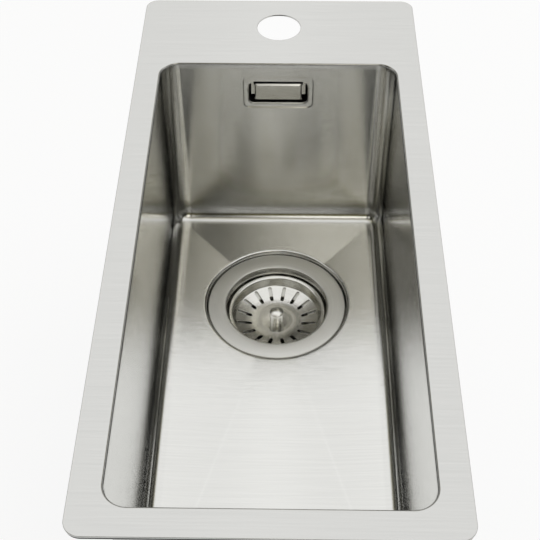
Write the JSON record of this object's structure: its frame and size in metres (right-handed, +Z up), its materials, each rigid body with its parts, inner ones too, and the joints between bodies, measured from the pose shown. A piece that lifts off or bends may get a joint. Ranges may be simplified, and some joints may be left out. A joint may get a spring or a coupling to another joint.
{
  "type": "single bowl kitchen sink",
  "caption": "Narrow inset steel kitchen sink with a deep creased bowl, rear tap ledge, lift-out basket strainer, wall overflow with pipe, and screw clamps under the rim.",
  "frame": {"origin": "centre of the rim's outline on the plane where the rim seal meets the worktop", "axes": "+Z up out of the worktop, +Y to the rear ledge with the tap hole, +X to the right"},
  "size_m": [0.22, 0.5, 0.2619],
  "materials": {
    "sink_steel": "fine brushed stainless sheet",
    "strainer_steel": "bright pressed stainless steel",
    "zinc_steel": "bright zinc plate",
    "brass": "turned",
    "black_rubber": "matt",
    "seal_foam": "closed-cell foam",
    "pad_rubber": "matt pad",
    "waste_plastic": "moulded"
  },
  "bodies": {
    "sink": {"deck_plate": "sink_steel", "bowl_shell": "sink_steel", "rim_seal": "seal_foam", "sound_pad_left": "pad_rubber", "sound_pad_right": "pad_rubber", "sound_pad_front": "pad_rubber", "sound_pad_floor": "pad_rubber", "strainer_cup": "strainer_steel", "cup_gasket": "black_rubber", "waste_gasket": "black_rubber", "waste_body": "waste_plastic", "fixing_screw": "strainer_steel", "insert_nut": "brass", "overflow_cover": "strainer_steel", "overflow_bridge": "strainer_steel", "overflow_screw": "strainer_steel", "overflow_gasket": "black_rubber", "overflow_housing": "waste_plastic", "overflow_studs": "zinc_steel", "overflow_nuts": "zinc_steel", "overflow_pipe": "waste_plastic", "upper_pipe_nut": "waste_plastic", "lower_pipe_nut": "waste_plastic", "upper_pipe_seal": "black_rubber", "lower_pipe_seal": "black_rubber", "clamp_studs": "zinc_steel"},
    "basket": {"strainer_basket": "strainer_steel", "basket_knob": "strainer_steel", "basket_stem": "strainer_steel", "stopper_washer": "strainer_steel", "stopper_seal": "black_rubber", "stem_clip": "zinc_steel"},
    "clamp_1_washer": {"clamp_washer_1": "zinc_steel"},
    "clamp_1_claw": {"clamp_claw_1": "zinc_steel"},
    "clamp_1_nut": {"clamp_nut_1": "zinc_steel"},
    "clamp_2_washer": {"clamp_washer_2": "zinc_steel"},
    "clamp_2_claw": {"clamp_claw_2": "zinc_steel"},
    "clamp_2_nut": {"clamp_nut_2": "zinc_steel"},
    "clamp_3_washer": {"clamp_washer_3": "zinc_steel"},
    "clamp_3_claw": {"clamp_claw_3": "zinc_steel"},
    "clamp_3_nut": {"clamp_nut_3": "zinc_steel"},
    "clamp_4_washer": {"clamp_washer_4": "zinc_steel"},
    "clamp_4_claw": {"clamp_claw_4": "zinc_steel"},
    "clamp_4_nut": {"clamp_nut_4": "zinc_steel"}
  },
  "joints": [
    {"name": "basket_lift", "type": "slide", "parent": "sink", "child": "basket", "axis": [0, 0, 1], "range_m": [0, 0.24]},
    {"name": "clamp_1_lift", "type": "slide", "parent": "sink", "child": "clamp_1_washer", "axis": [0, 0, 1], "range_m": [0, 0.03]},
    {"name": "clamp_1_swing", "type": "hinge", "parent": "clamp_1_washer", "child": "clamp_1_claw", "pos_m": [0.098, -0.15, -0.051], "axis": [0, 0, 1], "range_deg": [0, 90]},
    {"name": "clamp_1_spin", "type": "hinge", "parent": "clamp_1_washer", "child": "clamp_1_nut", "pos_m": [0.098, -0.15, -0.051], "axis": [0, 0, 1], "range_deg": [0, 13501]},
    {"name": "clamp_2_lift", "type": "slide", "parent": "sink", "child": "clamp_2_washer", "axis": [0, 0, 1], "range_m": [0, 0.03]},
    {"name": "clamp_2_swing", "type": "hinge", "parent": "clamp_2_washer", "child": "clamp_2_claw", "pos_m": [0.098, 0.15, -0.051], "axis": [0, 0, 1], "range_deg": [0, 90]},
    {"name": "clamp_2_spin", "type": "hinge", "parent": "clamp_2_washer", "child": "clamp_2_nut", "pos_m": [0.098, 0.15, -0.051], "axis": [0, 0, 1], "range_deg": [0, 13501]},
    {"name": "clamp_3_lift", "type": "slide", "parent": "sink", "child": "clamp_3_washer", "axis": [0, 0, 1], "range_m": [0, 0.03]},
    {"name": "clamp_3_swing", "type": "hinge", "parent": "clamp_3_washer", "child": "clamp_3_claw", "pos_m": [-0.098, -0.15, -0.051], "axis": [0, 0, 1], "range_deg": [0, 90]},
    {"name": "clamp_3_spin", "type": "hinge", "parent": "clamp_3_washer", "child": "clamp_3_nut", "pos_m": [-0.098, -0.15, -0.051], "axis": [0, 0, 1], "range_deg": [0, 13501]},
    {"name": "clamp_4_lift", "type": "slide", "parent": "sink", "child": "clamp_4_washer", "axis": [0, 0, 1], "range_m": [0, 0.03]},
    {"name": "clamp_4_swing", "type": "hinge", "parent": "clamp_4_washer", "child": "clamp_4_claw", "pos_m": [-0.098, 0.15, -0.051], "axis": [0, 0, 1], "range_deg": [0, 90]},
    {"name": "clamp_4_spin", "type": "hinge", "parent": "clamp_4_washer", "child": "clamp_4_nut", "pos_m": [-0.098, 0.15, -0.051], "axis": [0, 0, 1], "range_deg": [0, 13501]}
  ],
  "couplings": [
    {"joint": "clamp_1_spin", "follows": "clamp_1_lift", "rad_per_m": 7854},
    {"joint": "clamp_2_spin", "follows": "clamp_2_lift", "rad_per_m": 7854},
    {"joint": "clamp_3_spin", "follows": "clamp_3_lift", "rad_per_m": 7854},
    {"joint": "clamp_4_spin", "follows": "clamp_4_lift", "rad_per_m": 7854}
  ]
}
